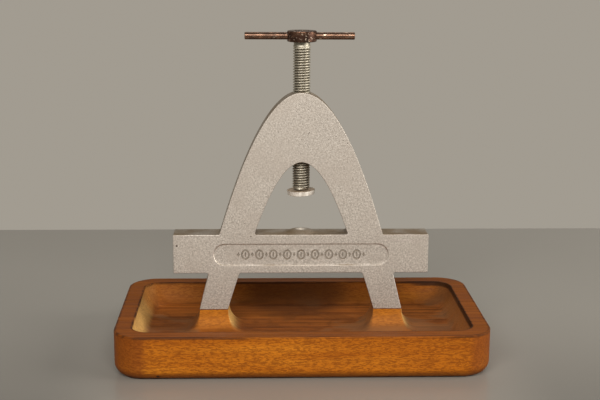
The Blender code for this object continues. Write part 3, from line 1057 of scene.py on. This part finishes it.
def wood_sides(look):
    """The colour of steep faces: streaks and flecks, with painted light and shade: paler where
    faces in the hollow turn to the light, darker where they turn from it, on the rounded ends and
    on the hollow's back wall.
    """
    color = look.ramp(
        look.streak,
        (0.30, (0.400, 0.112, 0.006, 1)),
        (0.50, (0.530, 0.168, 0.010, 1)),
        (0.72, (0.640, 0.230, 0.016, 1)),
    )
    color = look.mix(look.step(look.blotch, 0.35, 0.75, 0.0, 0.35), color, BLOTCH_BROWN)
    color = look.mix(look.step(look.fibre, 0.35, 0.75, 0.0, 0.30), color, FIBRE_BROWN)

    facing_x = look.axis(look.facing, "X")
    facing_y = look.axis(look.facing, "Y")
    # Faces in the hollow that turn to +X (the left cove, the plinths' right sides): partly pale end
    # grain, partly painted light from the right, most towards the front.
    lit_left_end = look.product(
        look.step(facing_x, 0.25, 0.75, 0.0, 0.95),
        look.step(look.y, 42 * MM, 18 * MM, 0.35, 1.0),
    )
    color = look.mix(look.product(look.hollow, lit_left_end), color, LIT_END_GRAIN)
    # Painted shade: faces in the hollow that turn to -X (the right cove, the plinths' left sides)
    # are darkened.
    shaded_right_end = look.step(facing_x, -0.15, -0.60, 0.0, 0.65)
    color = look.mix(look.product(look.hollow, shaded_right_end), color, SHADED_COVE_BROWN)
    plinth_front = look.product(
        look.step(facing_y, -0.3, -0.8), look.step(look.y, 0.0, -5 * MM), look.hollow, 0.50
    )
    color = look.mix(plinth_front, color, FRESH_WOOD)
    # The rounded ends outside are darker: partly end grain, partly painted shade where the surface
    # turns from the light.
    from_middle = look.math("ABSOLUTE", look.math("SUBTRACT", look.x, 3 * MM))
    corner = look.product(
        look.step(from_middle, 103 * MM, 110 * MM), look.outside, look.step(look.up, 1.0, 0.0), 0.70
    )
    color = look.mix(corner, color, END_GRAIN_AND_SHADE_BROWN)
    # Painted shade: the hollow's back wall is darkened, most at its left and middle, under the
    # crossbar.
    shaded_back_wall = look.product(
        look.step(facing_y, -0.1, -0.5),
        look.hollow,
        look.step(look.y, 28 * MM, 42 * MM),
        look.step(look.x, 20 * MM, 80 * MM, 0.62, 0.25),
    )
    color = look.mix(shaded_back_wall, color, WALL_SHADE_BROWN)
    fleck = look.product(
        look.fleck,
        look.step(look.up, 0.0, 1.0, 0.62, 0.35),
        look.step(look.hollow, 0.0, 1.0, 1.0, 0.7),
    )
    return look.mix(fleck, color, FLECK_BROWN)


def wood_top_and_shade(look):
    """The darker colour of level faces, darkest on the rim: partly their own grain, partly painted
    shade of faces turned from the low key light.
    """
    color = look.ramp(
        look.grain,
        (0.36, (0.075, 0.020, 0.005, 1)),
        (0.50, (0.185, 0.050, 0.009, 1)),
        (0.64, (0.290, 0.090, 0.017, 1)),
    )
    return look.mix(look.product(look.outside, 0.55), color, RIM_SHADE_BROWN)


def with_dark_edges(look, color):
    """Adds a darker foot, dark lines along the rim's two edges and a dark strip just under the
    rim's inner edge at its right.
    """
    foot = look.product(look.step(look.z, 7.0 * MM, 3.5 * MM), 0.60)
    color = look.mix(foot, color, FOOT_BROWN)

    from_side = edge_distance(look, 0, TRAY_CORNER)
    inner_line = look.step(look.math("ABSOLUTE", look.from_rim), 1.3 * MM, 0.5 * MM)
    outer_line = look.product(look.step(from_side, -2.2 * MM, -0.8 * MM), 0.8)
    line = look.product(
        look.math("MAXIMUM", inner_line, outer_line),
        look.step(look.z, TRAY_TOP - 2.2 * MM, TRAY_TOP - 0.8 * MM),
        look.step(look.grain, 0.42, 0.58, 1.0, 0.25),
    )
    color = look.mix(line, color, EDGE_BLACK)
    lip_strip = look.product(
        look.step(look.from_rim, -1.3 * MM, -0.7 * MM),
        look.step(look.from_rim, 0.8 * MM, 0.2 * MM),
        look.step(look.x, 78 * MM, 96 * MM, 0.0, 0.9),
        look.step(look.z, TRAY_TOP - 4 * MM, TRAY_TOP - 2.5 * MM),
    )
    return look.mix(lip_strip, color, LIP_STRIP_BLACK)


def with_stains(look, color):
    """Adds the hollow's dull stains, each with a darker border, two dark patches of painted shade
    and stain, and a nick.
    """
    stain = look.product(
        look.step(look.patchy, 0.51, 0.62), look.hollow, look.step(look.up, 0.0, 1.0, 0.15, 0.50)
    )
    color = look.mix(stain, color, STAIN_BROWN)
    border = look.product(
        look.step(look.patchy, 0.45, 0.49),
        look.step(look.patchy, 0.54, 0.50),
        look.hollow,
        look.up,
        0.28,
    )
    color = look.mix(border, color, TIDE_BLACK)
    # Dark patches of painted shade, partly stains: behind the frame's middle and beside the left
    # plinth.
    shade_and_stain = look.math(
        "MAXIMUM",
        look.product(look.near(BACK_SHADE_AND_STAIN_SPOT, BACK_SHADE_AND_STAIN_REACH), 0.68),
        look.product(look.near(LEFT_SHADE_AND_STAIN_SPOT, LEFT_SHADE_AND_STAIN_REACH), 0.38),
    )
    color = look.mix(look.product(shade_and_stain, look.hollow), color, SHADE_AND_NICK_BLACK)
    return look.mix(look.near(NICK_PLACE, NICK_RADIUS), color, SHADE_AND_NICK_BLACK)


def wood_material():
    """Oiled beech: streaks along X, fine fibres, short dark flecks, darkened edges and stains, with
    painted light and shade on its ends, in its hollow and on its level faces.
    """
    look = WoodShading("oiled_beech")
    # Level faces take the darker colour: partly their grain, partly painted shade.
    color = look.mix(look.product(look.up, 0.80), wood_sides(look), wood_top_and_shade(look))
    color = with_stains(look, with_dark_edges(look, color))
    relief = look.math("ADD", look.product(look.fibre, 0.6), look.product(look.fleck, -0.5))
    roughness = look.step(look.streak, 0.3, 0.7, 0.46, 0.60)
    normal = look.bump(relief, 0.12 * MM, 0.5)
    return look.finish(color, roughness, 0.0, normal, specular_ior_level=0.10)


def casting_pores(look):
    """1 in the pores, which lie in a few loose clusters, and in the one larger pit."""
    clusters = look.step(look.noise(look.place, 38, detail=2), 0.64, 0.72)
    for x, z in CLUSTERS:
        clusters = look.math("MAXIMUM", clusters, look.near((x, FRONT, z), CLUSTER_RADIUS))
    pores = look.product(look.step(look.cells(look.place, 420), 0.20, 0.08), clusters)
    return look.math("MAXIMUM", pores, look.near(PIT_PLACE, PIT_RADIUS))


def casting_material():
    """Shot-blasted aluminium: a fine grain, sides darkened by painted shade, and soiling with
    painted shade on its upper faces.
    """
    look = Shading("cast_aluminium")
    fine = look.noise(look.place, 1500, detail=3, roughness=0.65)
    coarse = look.noise(look.place, 850, detail=2)
    grain = look.math("ADD", look.product(fine, 0.5), look.product(coarse, 0.5))
    cloud = look.noise(look.place, 45, detail=4)
    facing_y = look.axis(look.facing, "Y")
    floor_y = FRONT + PANEL_DEPTH
    # Painted shade: the front-facing floors of the engraved grooves are darkened.
    groove = look.product(
        look.step(look.product(facing_y, -1.0), 0.2, 0.7),
        look.step(
            look.axis(look.place, "Y"), floor_y + 0.15 * MM, floor_y + GROOVE_DEPTH - 0.1 * MM
        ),
        0.55,
    )
    pore = casting_pores(look)

    color = look.ramp(
        grain,
        (0.37, (0.420, 0.376, 0.330, 1)),
        (0.50, (0.615, 0.565, 0.508, 1)),
        (0.63, (0.810, 0.758, 0.695, 1)),
    )
    smooth = look.step(look.axis(look.place, "Z"), 95 * MM, 150 * MM, 0.0, 0.20)
    color = look.mix(smooth, color, CAST_SMOOTH)
    color = look.mix(look.step(cloud, 0.38, 0.68, 0.0, 0.45), color, CAST_CLOUD)
    color = look.mix(groove, color, GROOVE_SHADE)
    # Painted shade: faces turned sideways, away from the front, are darkened.
    sides = look.step(look.math("ABSOLUTE", facing_y), 0.6, 0.3, 0.0, 0.55)
    color = look.mix(sides, color, SIDEWAYS_SHADE)
    # Upward faces darkened in patches: partly dirt, partly painted shade.
    grime_and_shade = look.product(
        look.step(look.axis(look.facing, "Z"), 0.25, 0.8),
        look.step(look.noise(look.place, 70, detail=5), 0.34, 0.68, 0.0, 0.7),
    )
    color = look.mix(grime_and_shade, color, GRIME_AND_SHADE)
    # The anvil's top: partly a polished seat, partly a painted highlight; it is also smoother
    # there.
    polish_and_highlight = look.near((0, 0, BAR_TOP + ANVIL_HEIGHT), 0.6 * ANVIL_TOP_RADIUS)
    color = look.mix(polish_and_highlight, color, POLISH_AND_HIGHLIGHT)
    color = look.mix(pore, color, CAST_PORE)

    relief = look.math("ADD", fine, look.product(coarse, 0.7))
    relief = look.math("SUBTRACT", relief, look.product(pore, 1.5))
    dull = look.step(cloud, 0.3, 0.7, 0.50, 0.62)
    roughness = look.math("SUBTRACT", dull, look.product(polish_and_highlight, 0.20))
    return look.finish(color, roughness, 0.75, look.bump(relief, 0.15 * MM, 0.45))


def radius_from_axis(look):
    flat = look.node(
        "ShaderNodeVectorMath", [(0, look.place), (1, (1, 1, 0))], operation="MULTIPLY"
    )
    made = look.node("ShaderNodeVectorMath", [(0, flat.outputs[0])], operation="LENGTH")
    return made.outputs["Value"]


def thread_material():
    """Bright plated thread, with painted shade and some old oily soiling in its roots."""
    look = Shading("plated_thread")
    radius = radius_from_axis(look)
    grain = look.noise(look.stretched((300, 300, 900)), detail=3)
    # The thread's roots are darkened: painted shade, with some old oily soiling.
    root_shade_and_dirt = look.product(
        look.step(radius, THREAD_RADIUS - 0.30 * MM, THREAD_RADIUS - THREAD_DEPTH),
        look.step(grain, 0.25, 0.6, 0.85, 1.0),
        0.74,
    )
    color = look.ramp(
        grain,
        (0.3, (0.53, 0.490, 0.400, 1)),
        (0.7, (0.64, 0.605, 0.515, 1)),
    )
    color = look.mix(root_shade_and_dirt, color, ROOT_SHADE_AND_DIRT)
    neck_end = HEAD_LOW.z - NECK_LENGTH
    neck = look.step(look.axis(look.place, "Z"), neck_end - 0.3 * MM, neck_end)
    color = look.mix(look.product(neck, 0.5), color, NECK_SHADE)
    roughness = look.step(grain, 0.3, 0.7, 0.44, 0.50)
    return look.finish(color, roughness, 0.95, look.bump(grain, 0.015 * MM, 0.4))


def browned_material(name, wear, stretch, sheen):
    """Browned steel: wear is how much of its skin has gone, and sheen how far its colour is paled
    as a painted sheen.
    """
    look = Shading(name)
    cloud = look.noise(look.place, 260, detail=4, roughness=0.6)
    speck = look.noise(look.place, 900, detail=2)
    rubbed = look.noise(look.stretched(stretch), detail=3, roughness=0.6)
    worn = look.step(rubbed, 0.66 - wear, 0.76 - wear)
    color = look.ramp(
        cloud,
        (0.32, (0.030, 0.015, 0.011, 1)),
        (0.50, (0.085, 0.041, 0.027, 1)),
        (0.68, (0.200, 0.105, 0.064, 1)),
    )
    # Painted sheen: the colour is paled by the share sheen.
    color = look.mix(sheen, color, SHEEN_TINT)
    color = look.mix(worn, color, WORN_STEEL)
    roughness = look.step(cloud, 0.3, 0.7, 0.38, 0.26)
    relief = look.math("ADD", cloud, look.product(speck, 0.4))
    return look.finish(color, roughness, 0.8, look.bump(relief, 0.03 * MM, 0.40))


def disc_material():
    """Worn plating: bright round the side, with vertical streaks that are a painted reflection,
    browned on top and under it.
    """
    look = Shading("worn_disc")
    # Streaks along Z: a painted reflection on the disc's side, and a texture on its faces.
    grain = look.noise(look.stretched((500, 500, 160)), detail=3)
    flat = look.step(look.math("ABSOLUTE", look.axis(look.facing, "Z")), 0.6, 0.9)
    color = look.ramp(grain, (0.35, (0.66, 0.60, 0.53, 1)), (0.60, (1.0, 0.95, 0.87, 1)))
    brown = look.ramp(grain, (0.3, (0.20, 0.13, 0.07, 1)), (0.7, (0.42, 0.30, 0.18, 1)))
    color = look.mix(look.product(flat, 0.85), color, brown)
    return look.finish(color, 0.38, 0.30, look.bump(grain, 0.02 * MM, 0.4))


def zinc_material():
    look = Shading("zinc_plate")
    grain = look.noise(look.place, 700, detail=3)
    color = look.ramp(grain, (0.3, (0.45, 0.44, 0.40, 1)), (0.7, (0.66, 0.65, 0.60, 1)))
    return look.finish(color, look.step(grain, 0.3, 0.7, 0.34, 0.48), 0.95)


# Stage


def look_at(thing, place, target):
    thing.location = place
    thing.rotation_euler = (Vector(target) - Vector(place)).to_track_quat("-Z", "Y").to_euler()


def add_camera():
    data = bpy.data.cameras.new("camera")
    data.lens = CAMERA_LENS
    data.sensor_width = 36
    data.clip_end = 50
    camera = bpy.data.objects.new("camera", data)
    bpy.context.scene.collection.objects.link(camera)
    turn = Matrix.Rotation(CAMERA_YAW, 4, "Z") @ Matrix.Rotation(CAMERA_PITCH, 4, "X")
    turn = turn @ Matrix.Rotation(CAMERA_ROLL, 4, "Y") @ Matrix.Rotation(QUARTER, 4, "X")
    camera.matrix_world = Matrix.Translation(CAMERA_PLACE) @ turn
    bpy.context.scene.camera = camera


def add_light(name, place, size, power, color):
    data = bpy.data.lights.new(name, "AREA")
    data.shape = "RECTANGLE"
    data.size, data.size_y = size
    data.energy = power
    data.color = color
    light = bpy.data.objects.new(name, data)
    bpy.context.scene.collection.objects.link(light)
    look_at(light, place, LIGHT_TARGET)


def add_world():
    """A pale horizon that darkens overhead."""
    world = bpy.data.worlds.new("studio")
    world.use_nodes = True
    bpy.context.scene.world = world
    tree = world.node_tree
    coordinates = tree.nodes.new("ShaderNodeTexCoord")
    split = tree.nodes.new("ShaderNodeSeparateXYZ")
    ramp = tree.nodes.new("ShaderNodeValToRGB")
    tree.links.new(coordinates.outputs["Generated"], split.inputs[0])
    tree.links.new(split.outputs["Z"], ramp.inputs["Fac"])
    for element, (height, color) in zip(ramp.color_ramp.elements, (HORIZON, OVERHEAD)):
        element.position = height
        element.color = color
    tree.links.new(ramp.outputs["Color"], tree.nodes["Background"].inputs["Color"])


def add_floor():
    """A glossy grey table with painted shade: browner and darker in front of the tray, and darker
    still to its sides.
    """
    work = bmesh.new()
    corners = ((-FLOOR_REACH, -FLOOR_REACH), (FLOOR_REACH, -FLOOR_REACH))
    corners += ((FLOOR_REACH, FLOOR_BACK), (-FLOOR_REACH, FLOOR_BACK))
    cap(work, [work.verts.new((x, y, FLOOR_Z)) for x, y in corners])
    floor = solid("floor", work)
    look = Shading("pale_floor")
    cloud = look.noise(look.place, 2.5, detail=2)
    color = look.ramp(cloud, (0.3, (0.325, 0.312, 0.282, 1)), (0.7, (0.35, 0.337, 0.307, 1)))
    # Painted shade: the table darkens towards the front, and to the sides in front of the tray.
    table_front_shade = look.step(look.axis(look.place, "Y"), 0.10, -0.25)
    color = look.mix(table_front_shade, color, (0.25, 0.228, 0.200, 1))
    table_side_shade = look.step(look.math("ABSOLUTE", look.axis(look.place, "X")), 0.11, 0.17, 0.0, 1.0)
    color = look.mix(look.product(table_side_shade, table_front_shade), color, (0.175, 0.172, 0.158, 1))
    floor.data.materials.append(look.finish(color, 0.24, specular_ior_level=0.7))


def main():
    add_camera()
    add_world()
    add_floor()
    for light in LIGHTS:
        add_light(*light)
    bpy.context.scene.view_settings.view_transform = "Standard"
    build_tray(wood_material())
    build_frame(casting_material())
    build_spindle(thread_material())
    build_head(browned_material("browned_head", 0.08, (620, 620, 620), 0.0))
    # The bar is paled by a painted sheen; the head is not.
    build_bar(browned_material("browned_bar", 0.06, (280, 620, 620), 0.18))
    build_disc(disc_material())
    zinc = zinc_material()
    build_screw("disc_fixing", "disc_screw", "screw", zinc, DISC_SCREW)
    for side in ("left", "right"):
        build_washer(f"washer_{side}", f"foot_washer_{side}", zinc)
        build_screw(f"fixing_{side}", f"foot_screw_{side}", "stand", zinc, FOOT_SCREW)


main()
